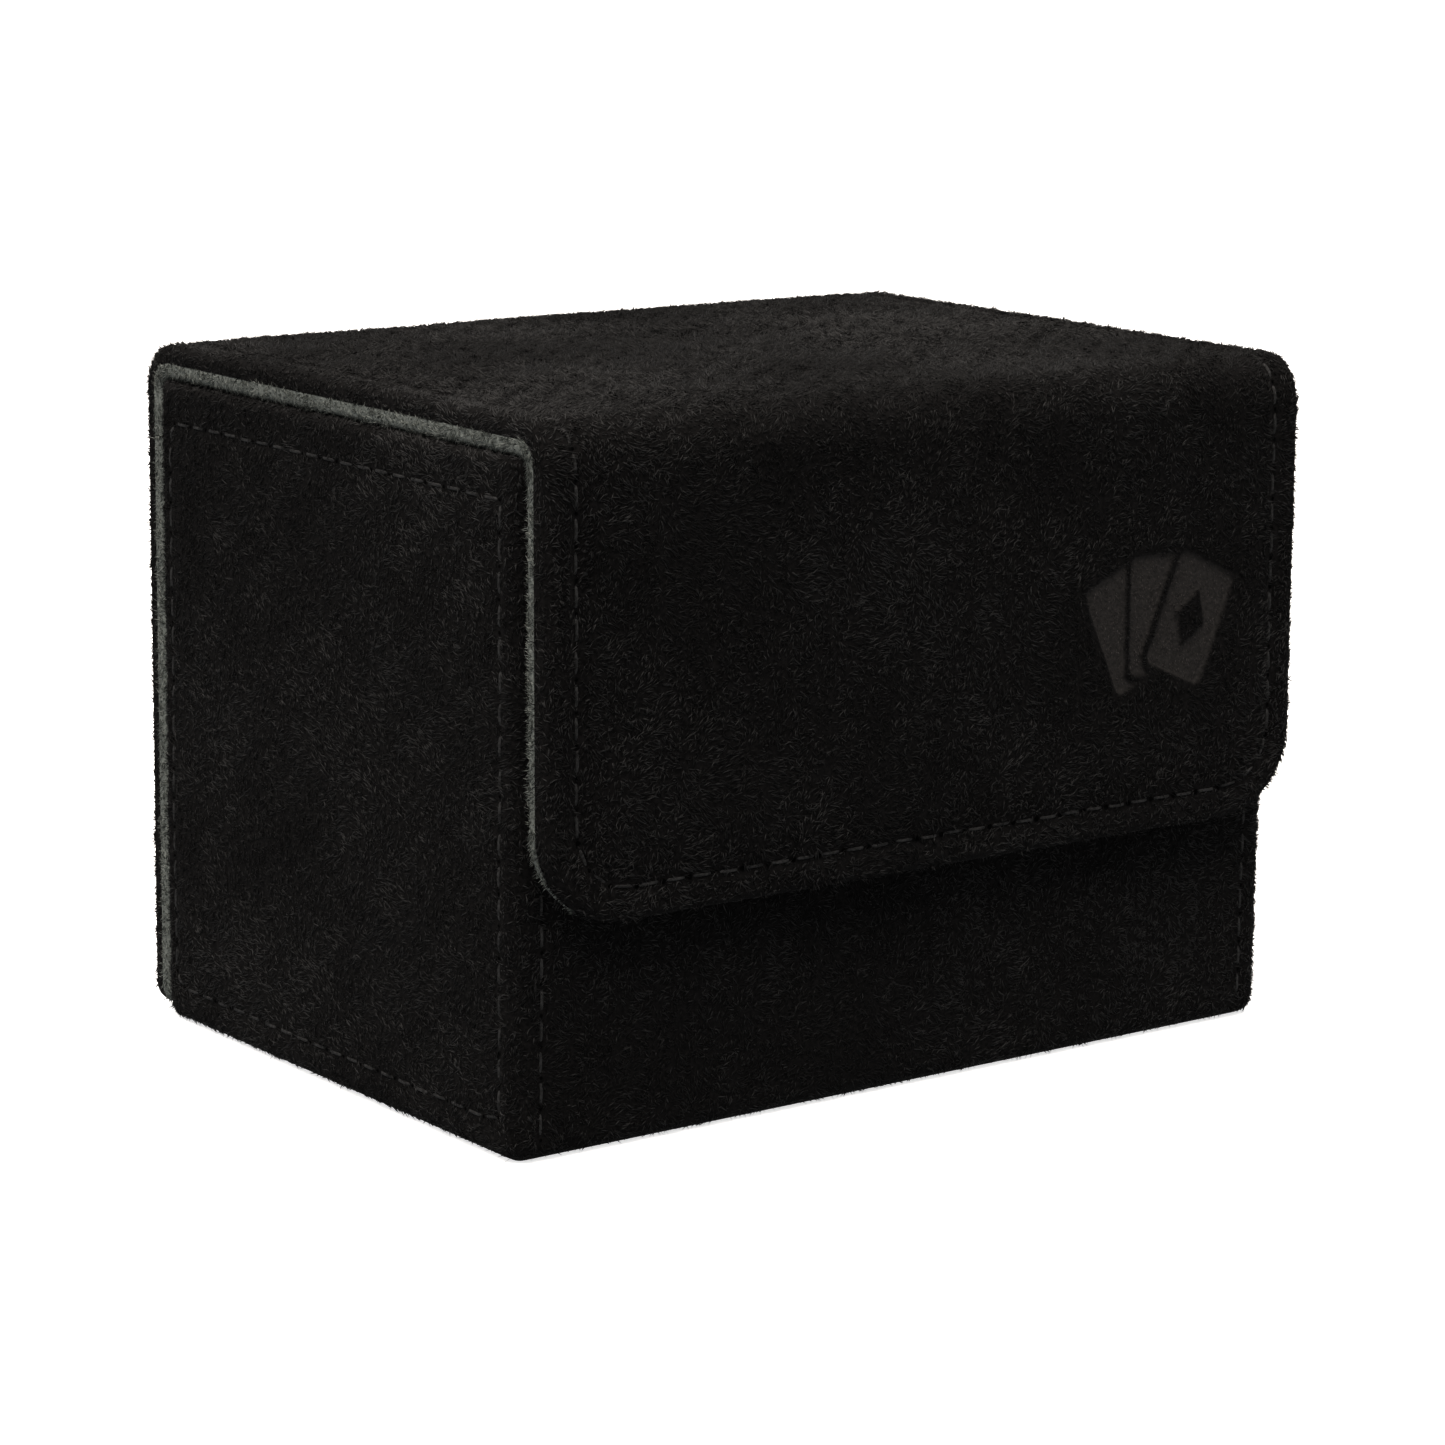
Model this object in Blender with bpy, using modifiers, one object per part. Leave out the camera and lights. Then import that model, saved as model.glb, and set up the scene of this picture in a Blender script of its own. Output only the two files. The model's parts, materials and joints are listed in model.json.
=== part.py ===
"""Card deck box: a stiff sewn box for trading cards, with a hinged cover that ends in a front flap.

The box body is four suede panels over board, with a lining inside. The cover is one long
sandwich of suede, board and lining: a back panel, a lid and a flap, joined by two soft folds
that hold no board. Discs in the flap and in the front wall hold the flap shut.

Units are metres. X runs across the width, the front faces -Y and +Z is up. The origin is at the
middle of the footprint, on the surface that the box stands on.
"""

import math

import bmesh
import bpy
from mathutils import Matrix, Vector

# Overall sizes
BOX_WIDTH = 0.106
BOX_DEPTH = 0.0718  # front face to rear face of the body, without the cover
OVERALL_HEIGHT = 0.0782  # to the top of the lid's suede

# Sheet thicknesses
SUEDE = 0.0013
LINING = 0.001
WALL_BOARD = 0.0016
COVER_BOARD = 0.0009
GAP = 0.0003  # between pieces that touch

# Cover
COVER_INSET = 0.001  # the cover is this much narrower than the box on each side
FLAP_PLAY = 0.0004  # between the front wall's stitching and the flap's lining
FLAP_CLEARANCE = 0.0258  # from the ground to the flap's lower edge
FLAP_CORNER_RADIUS = 0.010
HEEL_CORNER_RADIUS = 0.0025
HEEL_CLEARANCE = 0.0006  # from the ground to the back panel's lower edge
REAR_FOLD_RADIUS = 0.005
FRONT_FOLD_RADIUS = 0.0055
REAR_LINING_RADIUS = 0.0005
FRONT_LINING_RADIUS = 0.0012
BOARD_MARGIN = 0.0012  # the boards stop this far inside the edges, where suede and lining are sewn

# Body details
RIM_HEM = 0.001  # the boards stop this far below the rim
BASE_CORNER_RADIUS = 0.003
FRONT_CORNER_RADIUS = 0.0009
SOFT_EDGE = 0.0003

# Stitching
THREAD = 0.0005
COVER_SEAM_INSET = 0.0037
SIDE_SEAM_INSET = 0.0029
SIDE_SEAM_HEIGHT = 0.0045  # above the ground and below the rim
FRONT_SEAM_INSET = 0.0035
FRONT_SEAM_BOTTOM = 0.0025
FRONT_SEAM_TOP = 0.0045  # below the rim
SEAM_CORNER_RADIUS = 0.001

# Closure discs
DISC_RADIUS = 0.006
DISC_CLEARANCE = 0.0003
DISC_SPACING = 0.062
DISC_ABOVE_FLAP_EDGE = 0.011

CORNER_SEGMENTS = 8
DISC_SEGMENTS = 32

# Stacks and planes worked out from the sizes above
COVER_THICKNESS = SUEDE + GAP + COVER_BOARD + GAP + LINING
COVER_BOARD_DEPTH = SUEDE + GAP  # from the cover's outer face to its board
COVER_LINING_DEPTH = COVER_BOARD_DEPTH + COVER_BOARD + GAP
BOARD_DEPTH = SUEDE + GAP  # from a wall's outer face to its board
LINING_DEPTH = BOARD_DEPTH + WALL_BOARD + GAP
STITCH_PROUD = GAP + THREAD
FLAP_STANDOFF = STITCH_PROUD + FLAP_PLAY  # from the box's front face to the flap's lining
TOTAL_DEPTH = BOX_DEPTH + GAP + FLAP_STANDOFF + 2 * (COVER_THICKNESS + STITCH_PROUD)

HALF_WIDTH = BOX_WIDTH / 2
COVER_HALF_WIDTH = HALF_WIDTH - COVER_INSET
FLAP_Y = -TOTAL_DEPTH / 2 + STITCH_PROUD  # the flap's outer face
FRONT_Y = FLAP_Y + COVER_THICKNESS + FLAP_STANDOFF  # the body's front face
REAR_Y = FRONT_Y + BOX_DEPTH
BACK_Y = REAR_Y + GAP + COVER_THICKNESS  # the back panel's outer face
RIM_Z = OVERALL_HEIGHT - COVER_THICKNESS - GAP
WALL_FOOT_Z = SUEDE + GAP
LINING_FOOT_Z = WALL_FOOT_Z + WALL_BOARD + GAP

# Hinge lines. The lid turns about the inner face of its suede, and the flap about its lining.
LID_PIVOT = Vector((0, BACK_Y - SUEDE, OVERALL_HEIGHT - SUEDE))
FLAP_PIVOT = Vector((0, FLAP_Y + COVER_LINING_DEPTH, OVERALL_HEIGHT - COVER_LINING_DEPTH))


# Scene, materials and placing


def clear_scene():
    for obj in list(bpy.data.objects):
        bpy.data.objects.remove(obj, do_unlink=True)


def new_collection(name):
    collection = bpy.data.collections.new(name)
    bpy.context.scene.collection.children.link(collection)
    return collection


def new_material(name, colour, roughness, metallic=0.0):
    material = bpy.data.materials.new(name)
    material.use_nodes = True
    shader = material.node_tree.nodes["Principled BSDF"]
    shader.inputs["Base Color"].default_value = (*colour, 1.0)
    shader.inputs["Roughness"].default_value = roughness
    shader.inputs["Metallic"].default_value = metallic
    material.diffuse_color = (*colour, 1.0)
    return material


clear_scene()
PARTS = new_collection("card_deck_box")
CUTTERS = new_collection("cutters")

FINISHES = {
    "suede": ((0.012, 0.011, 0.011), 0.95, 0.0),
    "lining": ((0.32, 0.34, 0.32), 0.9, 0.0),
    "board": ((0.36, 0.30, 0.22), 0.85, 0.0),
    "thread": ((0.035, 0.035, 0.034), 0.6, 0.0),
    "nickel": ((0.62, 0.60, 0.57), 0.3, 1.0),
}


def finish(obj, kind):
    colour, roughness, metallic = FINISHES[kind]
    obj.data.materials.append(new_material(f"{obj.name}_{kind}", colour, roughness, metallic))


def new_axis(name, place, parent=None):
    """An empty on a hinge line, which the pieces that turn about it hang from."""
    axis = bpy.data.objects.new(name, None)
    PARTS.objects.link(axis)
    axis.parent = parent
    axis.location = place - (parent.matrix_world.translation if parent else Vector())
    bpy.context.view_layer.update()
    return axis


def put(obj, place, parent, collection=PARTS):
    """Links an object and places it at a point of the world, under its parent."""
    collection.objects.link(obj)
    obj.parent = parent
    obj.location = Vector(place) - (parent.matrix_world.translation if parent else Vector())
    return obj


# Shapes


def box_mesh(name, size):
    mesh = bpy.data.meshes.new(name)
    bm = bmesh.new()
    bmesh.ops.create_cube(bm, size=1)
    bmesh.ops.scale(bm, vec=size, verts=bm.verts)
    bm.to_mesh(mesh)
    bm.free()
    return mesh


def round_corners(mesh, along, radius, chosen=lambda middle: True):
    """Rounds the edges that run along one axis (0, 1 or 2) and whose middle is chosen."""
    bm = bmesh.new()
    bm.from_mesh(mesh)
    edges = []
    for edge in bm.edges:
        first, second = (vert.co for vert in edge.verts)
        run = second - first
        if abs(run[along]) > 0.999 * run.length and chosen((first + second) / 2):
            edges.append(edge)
    bmesh.ops.bevel(
        bm, geom=edges, offset=radius, segments=CORNER_SEGMENTS, profile=0.5, affect="EDGES"
    )
    bm.to_mesh(mesh)
    bm.free()


def soften(obj):
    bevel = obj.modifiers.new("soft_edge", "BEVEL")
    bevel.width = SOFT_EDGE
    bevel.segments = 1
    bevel.limit_method = "ANGLE"
    bevel.angle_limit = math.radians(60)


def panel(name, low, high, kind, parent=None, along=None, radius=0.0, chosen=None):
    """A flat piece of sheet between two corners of the world, with some corners rounded."""
    low, high = Vector(low), Vector(high)
    mesh = box_mesh(name, high - low)
    if along is not None:
        round_corners(mesh, along, radius, chosen or (lambda middle: True))
    obj = put(bpy.data.objects.new(name, mesh), (low + high) / 2, parent)
    if kind != "board":
        soften(obj)
    finish(obj, kind)
    return obj


def rounded_path(corners, radius, closed):
    """Points along straight runs that meet at right angles, with each corner rounded."""
    points = []
    count = len(corners)
    for i, corner in enumerate(corners):
        if not closed and i in (0, count - 1):
            points.append(corner)
            continue
        arriving = (corner - corners[i - 1]).normalized()
        leaving = (corners[(i + 1) % count] - corner).normalized()
        centre = corner + (leaving - arriving) * radius
        for step in range(CORNER_SEGMENTS + 1):
            turn = math.pi / 2 * step / CORNER_SEGMENTS
            points.append(
                centre + (arriving * math.sin(turn) - leaving * math.cos(turn)) * radius
            )
    return points


def thread_run(name, points, parent=None, closed=False):
    """A row of stitching as one thread along its seam."""
    curve = bpy.data.curves.new(name, "CURVE")
    curve.dimensions = "3D"
    curve.bevel_depth = THREAD / 2
    curve.bevel_resolution = 1
    curve.use_fill_caps = not closed
    spline = curve.splines.new("POLY")
    spline.points.add(len(points) - 1)
    place = sum(points, Vector()) / len(points)
    for point, spot in zip(spline.points, points):
        point.co = (*(spot - place), 1.0)
    spline.use_cyclic_u = closed
    obj = put(bpy.data.objects.new(name, curve), place, parent)
    finish(obj, "thread")
    return obj


def disc_mesh(name, radius, height):
    """A disc that faces the front."""
    mesh = bpy.data.meshes.new(name)
    bm = bmesh.new()
    bmesh.ops.create_cone(
        bm, cap_ends=True, segments=DISC_SEGMENTS, radius1=radius, radius2=radius, depth=height
    )
    bmesh.ops.rotate(bm, verts=bm.verts, matrix=Matrix.Rotation(math.pi / 2, 3, "X"))
    bm.to_mesh(mesh)
    bm.free()
    mesh.shade_smooth()
    mesh.set_sharp_from_angle(angle=math.radians(30))
    return mesh


def closure_disc(name, place, thickness, board, parent=None):
    """A magnet disc, in a hole that it fits in the board around it."""
    obj = put(bpy.data.objects.new(name, disc_mesh(name, DISC_RADIUS, thickness)), place, parent)
    finish(obj, "nickel")
    hole = disc_mesh(f"{name}_hole", DISC_RADIUS + DISC_CLEARANCE, 3 * thickness)
    cutter = put(bpy.data.objects.new(hole.name, hole), place, parent, CUTTERS)
    cutter.hide_render = True
    cutter.display_type = "WIRE"
    cut = board.modifiers.new(f"{name}_hole", "BOOLEAN")
    cut.operation = "DIFFERENCE"
    cut.solver = "EXACT"
    cut.object = cutter


def fold_strip(name, low_end, corner, high_end, radius, thickness, kind, half_width, parent):
    """A strip of sheet bent from an upright panel into a level one, given by its outer face."""
    start = Vector((0, *low_end))
    bend = Vector((0, *corner))
    finish_end = Vector((0, *high_end))
    profile = rounded_path([start, bend, finish_end], radius, closed=False)
    mesh = bpy.data.meshes.new(name)
    bm = bmesh.new()
    place = Vector((0, bend.y, bend.z))
    verts = [bm.verts.new(point - place - Vector((half_width, 0, 0))) for point in profile]
    edges = [bm.edges.new(pair) for pair in zip(verts, verts[1:])]
    made = bmesh.ops.extrude_edge_only(bm, edges=edges)
    moved = [item for item in made["geom"] if isinstance(item, bmesh.types.BMVert)]
    bmesh.ops.translate(bm, verts=moved, vec=(2 * half_width, 0, 0))
    bmesh.ops.remove_doubles(bm, verts=bm.verts, dist=1e-6)
    outward = (start - finish_end).cross(Vector((1, 0, 0)))
    if outward.dot(bend - (start + finish_end) / 2) < 0:
        outward.negate()
    bm.normal_update()
    bm.faces.ensure_lookup_table()
    if bm.faces[0].normal.dot(outward) < 0:
        bmesh.ops.reverse_faces(bm, faces=bm.faces)
    bm.to_mesh(mesh)
    bm.free()
    obj = put(bpy.data.objects.new(name, mesh), place, parent)
    wall = obj.modifiers.new("sheet", "SOLIDIFY")
    wall.thickness = thickness
    wall.offset = -1.0
    finish(obj, kind)
    return obj


# Body of the box


def suede_panels():
    """The front panel covers the full width. The sides butt behind it and stand on the base."""
    panel(
        "base_suede",
        (-HALF_WIDTH, FRONT_Y, 0),
        (HALF_WIDTH, REAR_Y, SUEDE),
        "suede",
        along=2,
        radius=BASE_CORNER_RADIUS,
    )
    panel(
        "front_suede",
        (-HALF_WIDTH, FRONT_Y, WALL_FOOT_Z),
        (HALF_WIDTH, FRONT_Y + SUEDE, RIM_Z),
        "suede",
        along=2,
        radius=FRONT_CORNER_RADIUS,
        chosen=lambda middle: middle.y < 0,
    )
    for name, side in (("left", -1), ("right", 1)):
        faces = sorted((side * HALF_WIDTH, side * (HALF_WIDTH - SUEDE)))
        panel(
            f"{name}_suede",
            (faces[0], FRONT_Y + SUEDE + GAP, WALL_FOOT_Z),
            (faces[1], REAR_Y, RIM_Z),
            "suede",
        )


def wall_ring(kind, depth, rear_depth, thickness, foot, top):
    """Four upright panels at one depth inside the body. Returns the front one."""
    outer_x = HALF_WIDTH - depth
    low_y = FRONT_Y + depth
    high_y = REAR_Y - rear_depth
    for name, side in (("left", -1), ("right", 1)):
        faces = sorted((side * outer_x, side * (outer_x - thickness)))
        panel(f"{name}_{kind}", (faces[0], low_y, foot), (faces[1], high_y, top), kind)
    inner_x = outer_x - thickness - GAP
    panel(f"rear_{kind}", (-inner_x, high_y - thickness, foot), (inner_x, high_y, top), kind)
    return panel(f"front_{kind}", (-inner_x, low_y, foot), (inner_x, low_y + thickness, top), kind)


def floor(kind, depth, rear_depth, thickness, foot):
    """The level panel inside a ring of upright ones."""
    margin = depth + thickness + GAP
    panel(
        f"floor_{kind}",
        (-HALF_WIDTH + margin, FRONT_Y + margin, foot),
        (HALF_WIDTH - margin, REAR_Y - rear_depth - thickness - GAP, foot + thickness),
        kind,
    )


def seam_loop(name, side):
    """The rectangle of stitching on a side panel."""
    x = side * (HALF_WIDTH + GAP + THREAD / 2)
    low_y = FRONT_Y + SIDE_SEAM_INSET
    high_y = REAR_Y - SIDE_SEAM_INSET
    low_z = SIDE_SEAM_HEIGHT
    high_z = RIM_Z - SIDE_SEAM_HEIGHT
    corners = [
        Vector((x, low_y, low_z)),
        Vector((x, high_y, low_z)),
        Vector((x, high_y, high_z)),
        Vector((x, low_y, high_z)),
    ]
    thread_run(name, rounded_path(corners, SEAM_CORNER_RADIUS, closed=True), closed=True)


def body():
    suede_panels()
    front_board = wall_ring("board", BOARD_DEPTH, 0, WALL_BOARD, WALL_FOOT_Z, RIM_Z - RIM_HEM)
    floor("board", BOARD_DEPTH, 0, WALL_BOARD, WALL_FOOT_Z)
    rear_lining_depth = WALL_BOARD + GAP
    wall_ring("lining", LINING_DEPTH, rear_lining_depth, LINING, LINING_FOOT_Z, RIM_Z)
    floor("lining", LINING_DEPTH, rear_lining_depth, LINING, LINING_FOOT_Z)
    seam_y = FRONT_Y - GAP - THREAD / 2
    for name, side in (("left", -1), ("right", 1)):
        seam_loop(f"{name}_side_stitching", side)
        seam_x = side * (HALF_WIDTH - FRONT_SEAM_INSET)
        thread_run(
            f"front_stitching_{name}",
            [
                Vector((seam_x, seam_y, FRONT_SEAM_BOTTOM)),
                Vector((seam_x, seam_y, RIM_Z - FRONT_SEAM_TOP)),
            ],
        )
        closure_disc(
            f"wall_magnet_{name}",
            (
                side * DISC_SPACING / 2,
                FRONT_Y + BOARD_DEPTH + WALL_BOARD / 2,
                FLAP_CLEARANCE + DISC_ABOVE_FLAP_EDGE,
            ),
            WALL_BOARD,
            front_board,
        )


# Cover


def upright_layers(prefix, face_y, inward, low, high, radius, parent):
    """Suede, board and lining of an upright cover panel, rounded at its two lower corners."""
    layers = (
        ("suede", 0, SUEDE, 0),
        ("board", COVER_BOARD_DEPTH, COVER_BOARD, BOARD_MARGIN),
        ("lining", COVER_LINING_DEPTH, LINING, 0),
    )
    made = {}
    for kind, depth, thickness, margin in layers:
        faces = sorted((face_y + inward * depth, face_y + inward * (depth + thickness)))
        made[kind] = panel(
            f"{prefix}_{kind}",
            (-COVER_HALF_WIDTH + margin, faces[0], low + margin),
            (COVER_HALF_WIDTH - margin, faces[1], high),
            kind,
            parent,
            along=1,
            radius=radius - margin,
            chosen=lambda middle: middle.z < 0,
        )
    return made


def cover_seam(name, face_y, outward, low, high, corner_radius, parent):
    """The U of stitching that follows the edge of an upright cover panel."""
    x = COVER_HALF_WIDTH - COVER_SEAM_INSET
    y = face_y + outward * (GAP + THREAD / 2)
    bottom = low + COVER_SEAM_INSET
    corners = [Vector((-x, y, high)), Vector((-x, y, bottom)), Vector((x, y, bottom))]
    corners.append(Vector((x, y, high)))
    radius = max(corner_radius - COVER_SEAM_INSET, SEAM_CORNER_RADIUS)
    thread_run(name, rounded_path(corners, radius, closed=False), parent)


def back_panel():
    top = OVERALL_HEIGHT - REAR_FOLD_RADIUS
    upright_layers("cover_back", BACK_Y, -1, HEEL_CLEARANCE, top, HEEL_CORNER_RADIUS, None)
    cover_seam(
        "cover_back_stitching", BACK_Y, 1, HEEL_CLEARANCE, top, HEEL_CORNER_RADIUS, None
    )


def lid(axis):
    low_y = FLAP_Y + FRONT_FOLD_RADIUS
    high_y = BACK_Y - REAR_FOLD_RADIUS
    layers = (
        ("suede", 0, SUEDE, 0),
        ("board", COVER_BOARD_DEPTH, COVER_BOARD, BOARD_MARGIN),
        ("lining", COVER_LINING_DEPTH, LINING, 0),
    )
    for kind, depth, thickness, margin in layers:
        top = OVERALL_HEIGHT - depth
        panel(
            f"lid_{kind}",
            (-COVER_HALF_WIDTH + margin, low_y, top - thickness),
            (COVER_HALF_WIDTH - margin, high_y, top),
            kind,
            axis,
        )
    seam_z = OVERALL_HEIGHT + GAP + THREAD / 2
    for name, side in (("left", -1), ("right", 1)):
        seam_x = side * (COVER_HALF_WIDTH - COVER_SEAM_INSET)
        ends = [Vector((seam_x, low_y, seam_z)), Vector((seam_x, high_y, seam_z))]
        thread_run(f"lid_stitching_{name}", ends, axis)


def flap(axis):
    top = OVERALL_HEIGHT - FRONT_FOLD_RADIUS
    layers = upright_layers("flap", FLAP_Y, 1, FLAP_CLEARANCE, top, FLAP_CORNER_RADIUS, axis)
    cover_seam("flap_stitching", FLAP_Y, -1, FLAP_CLEARANCE, top, FLAP_CORNER_RADIUS, axis)
    for name, side in (("left", -1), ("right", 1)):
        closure_disc(
            f"flap_magnet_{name}",
            (
                side * DISC_SPACING / 2,
                FLAP_Y + COVER_BOARD_DEPTH + COVER_BOARD / 2,
                FLAP_CLEARANCE + DISC_ABOVE_FLAP_EDGE,
            ),
            COVER_BOARD,
            layers["board"],
            axis,
        )


def fold(prefix, face_y, inward, radius, lining_radius, parent):
    """The two sheets that bend between an upright cover panel and the lid, with no board."""
    sheets = (
        ("suede", 0, SUEDE, radius),
        ("lining", COVER_LINING_DEPTH, LINING, lining_radius + LINING),
    )
    for kind, depth, thickness, bend in sheets:
        y = face_y + inward * depth
        z = OVERALL_HEIGHT - depth
        fold_strip(
            f"{prefix}_{kind}",
            (y, OVERALL_HEIGHT - radius + GAP),
            (y, z),
            (face_y + inward * (radius - GAP), z),
            min(bend, radius - depth - GAP),
            thickness,
            kind,
            COVER_HALF_WIDTH,
            parent,
        )


def cover():
    back_panel()
    lid_axis = new_axis("lid_hinge_axis", LID_PIVOT)
    lid(lid_axis)
    fold("rear_fold", BACK_Y, -1, REAR_FOLD_RADIUS, REAR_LINING_RADIUS, None)
    fold("front_fold", FLAP_Y, 1, FRONT_FOLD_RADIUS, FRONT_LINING_RADIUS, lid_axis)
    flap(new_axis("flap_fold_axis", FLAP_PIVOT, lid_axis))


body()
cover()
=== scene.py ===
"""Looks of a card deck box: a sewn box of black plush suede with a grey lining.

Everything is in metres. X runs across the width, the front faces -Y and +Z is up. The cover is
one long sheet: it starts at the heel of the back, runs up over the lid and down the front flap.
A place on it is (x, run, depth): run is measured along the outer face from the heel, and depth
goes inwards from that face.
"""

import json
import math

import bmesh
import bpy
import numpy as np
from mathutils import Matrix, Vector

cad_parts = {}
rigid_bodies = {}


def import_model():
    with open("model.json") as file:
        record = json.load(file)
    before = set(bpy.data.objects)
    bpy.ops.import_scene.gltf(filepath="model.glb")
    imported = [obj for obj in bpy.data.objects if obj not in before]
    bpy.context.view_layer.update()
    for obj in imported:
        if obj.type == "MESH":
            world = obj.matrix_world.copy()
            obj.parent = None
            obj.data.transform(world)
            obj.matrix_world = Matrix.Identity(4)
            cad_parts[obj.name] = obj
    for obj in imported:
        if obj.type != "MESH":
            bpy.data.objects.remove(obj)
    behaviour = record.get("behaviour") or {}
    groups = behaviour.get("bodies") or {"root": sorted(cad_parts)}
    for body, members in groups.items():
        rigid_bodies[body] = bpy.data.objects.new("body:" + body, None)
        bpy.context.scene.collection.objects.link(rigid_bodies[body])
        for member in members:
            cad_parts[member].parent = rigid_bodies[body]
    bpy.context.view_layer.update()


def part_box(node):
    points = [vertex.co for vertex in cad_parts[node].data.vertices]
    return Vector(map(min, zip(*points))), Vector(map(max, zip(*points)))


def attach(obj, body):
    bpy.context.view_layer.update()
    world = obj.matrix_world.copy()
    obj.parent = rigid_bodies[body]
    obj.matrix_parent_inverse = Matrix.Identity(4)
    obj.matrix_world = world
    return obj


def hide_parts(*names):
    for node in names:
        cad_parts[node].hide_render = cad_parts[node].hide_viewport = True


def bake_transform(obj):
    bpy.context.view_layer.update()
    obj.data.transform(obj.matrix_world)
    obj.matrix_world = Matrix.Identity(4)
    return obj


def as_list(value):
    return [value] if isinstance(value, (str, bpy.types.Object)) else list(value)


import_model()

MM = 0.001

# Sizes and planes of the box, read from its nodes
BASE_LOW, BASE_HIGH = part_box("base_suede")
FRONT_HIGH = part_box("front_suede")[1]
LID_LOW, LID_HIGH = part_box("lid_suede")
FLAP_LOW, FLAP_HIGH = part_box("flap_suede")
BACK_LOW, BACK_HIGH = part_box("cover_back_suede")
HALF_WIDTH = BASE_HIGH.x
FRONT_Y, REAR_Y = BASE_LOW.y, BASE_HIGH.y
RIM_Z = FRONT_HIGH.z
LID_TOP = LID_HIGH.z
BACK_Y = BACK_HIGH.y
FLAP_Y = FLAP_LOW.y
COVER_HALF = FLAP_HIGH.x
COVER_THICK = LID_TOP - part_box("lid_lining")[0].z
INNER_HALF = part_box("right_lining")[0].x
INNER_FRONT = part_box("front_lining")[1].y
INNER_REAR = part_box("rear_lining")[0].y
FLOOR_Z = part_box("floor_lining")[1].z

# The cover's run, from the heel to the flap's lower edge
REAR_FOLD = BACK_Y - LID_HIGH.y
FRONT_FOLD = LID_LOW.y - FLAP_Y
REAR_FOLD_START = LID_TOP - REAR_FOLD - BACK_LOW.z
REAR_FOLD_END = REAR_FOLD_START + math.pi / 2 * REAR_FOLD
FRONT_FOLD_START = REAR_FOLD_END + LID_HIGH.y - LID_LOW.y
FRONT_FOLD_END = FRONT_FOLD_START + math.pi / 2 * FRONT_FOLD
COVER_RUN = FRONT_FOLD_END + LID_TOP - FRONT_FOLD - FLAP_LOW.z
LID_MIDDLE = (REAR_FOLD_END + FRONT_FOLD_START) / 2

# How the suede is cut and sewn
SUEDE_EDGE = 2.0 * MM  # how deep the turned edge of the suede is
FLAP_CORNER = 10 * MM
HEEL_CORNER = 2.5 * MM
COVER_SEAM = 3.7 * MM  # from the cover's edge to its row of stitches
SIDE_SEAM = 2.9 * MM
FRONT_SEAM = 3.5 * MM
STITCH_PITCH = 3.4 * MM
BESIDE_SEAM = (-0.8 * MM, 0, 0.8 * MM)  # the rows that follow a seam
SEAM_SPREAD = 0.7 * MM  # how far from its stitches a seam draws the cloth in
ON_PLANE = 0.01 * MM  # nearer than this counts as lying on a plane
ROW_STEP = 4 * MM  # between the rows that let a piece bend and swell
FIRST_ROW = 6 * MM  # from the low edge of a piece
LAST_ROW = 5 * MM  # no row is nearer to its high edge

random = np.random.default_rng(7)


# Selecting and editing


def start_primitive():
    if bpy.context.object and bpy.context.object.mode != "OBJECT":
        bpy.ops.object.mode_set(mode="OBJECT")
    bpy.ops.object.select_all(action="DESELECT")


def add_block(name, low, high):
    """A block between two corners, with its place in its mesh."""
    start_primitive()
    bpy.ops.mesh.primitive_cube_add(size=1)
    block = bpy.context.object
    block.name = name
    low, high = Vector(low), Vector(high)
    block.location = (low + high) / 2
    block.scale = high - low
    bpy.ops.object.transform_apply(location=True, rotation=False, scale=True)
    return block


def select_edges(block, wanted):
    """Selects the edges whose two ends and direction suit, in edge mode."""
    bpy.ops.object.mode_set(mode="EDIT")
    bpy.ops.mesh.select_mode(type="EDGE")
    bpy.ops.mesh.select_all(action="DESELECT")
    bm = bmesh.from_edit_mesh(block.data)
    for edge in bm.edges:
        first, second = (vert.co for vert in edge.verts)
        edge.select_set(wanted(first, second))
    bm.select_flush_mode()
    bmesh.update_edit_mesh(block.data)


def select_faces(block, wanted):
    """Selects the faces whose centre and normal suit, in face mode."""
    bpy.ops.object.mode_set(mode="EDIT")
    bpy.ops.mesh.select_mode(type="FACE")
    bpy.ops.mesh.select_all(action="DESELECT")
    bm = bmesh.from_edit_mesh(block.data)
    for face in bm.faces:
        face.select_set(wanted(face.calc_center_median(), face.normal))
    bm.select_flush_mode()
    bmesh.update_edit_mesh(block.data)


def bevel_edges(block, wanted, radius, segments):
    select_edges(block, wanted)
    bpy.ops.mesh.bevel(offset=radius, segments=segments, profile=0.5, affect="EDGES")
    bpy.ops.object.mode_set(mode="OBJECT")


def cut_rows(axis, places):
    """Cuts straight rows across the active mesh, so that it can bend there."""
    bpy.ops.object.mode_set(mode="EDIT")
    normal = [0.0, 0.0, 0.0]
    normal[axis] = 1.0
    for place in places:
        bpy.ops.mesh.select_all(action="SELECT")
        point = [0.0, 0.0, 0.0]
        point[axis] = place
        bpy.ops.mesh.bisect(plane_co=point, plane_no=normal)
    bpy.ops.object.mode_set(mode="OBJECT")


def smooth(piece, angle=50):
    start_primitive()
    piece.select_set(True)
    bpy.context.view_layer.objects.active = piece
    bpy.ops.object.shade_smooth_by_angle(angle=math.radians(angle))


def coordinates(piece):
    points = np.empty(len(piece.data.vertices) * 3, np.float32)
    piece.data.vertices.foreach_get("co", points)
    return points.reshape(-1, 3).astype(float)


def move_points(piece, points):
    piece.data.vertices.foreach_set("co", points.astype(np.float32).ravel())
    piece.data.update()


# Shape of the cover

COVER_RIPPLE = 0.06 * MM


def ease(value):
    value = np.clip(value, 0, 1)
    return value * value * (3 - 2 * value)


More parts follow.
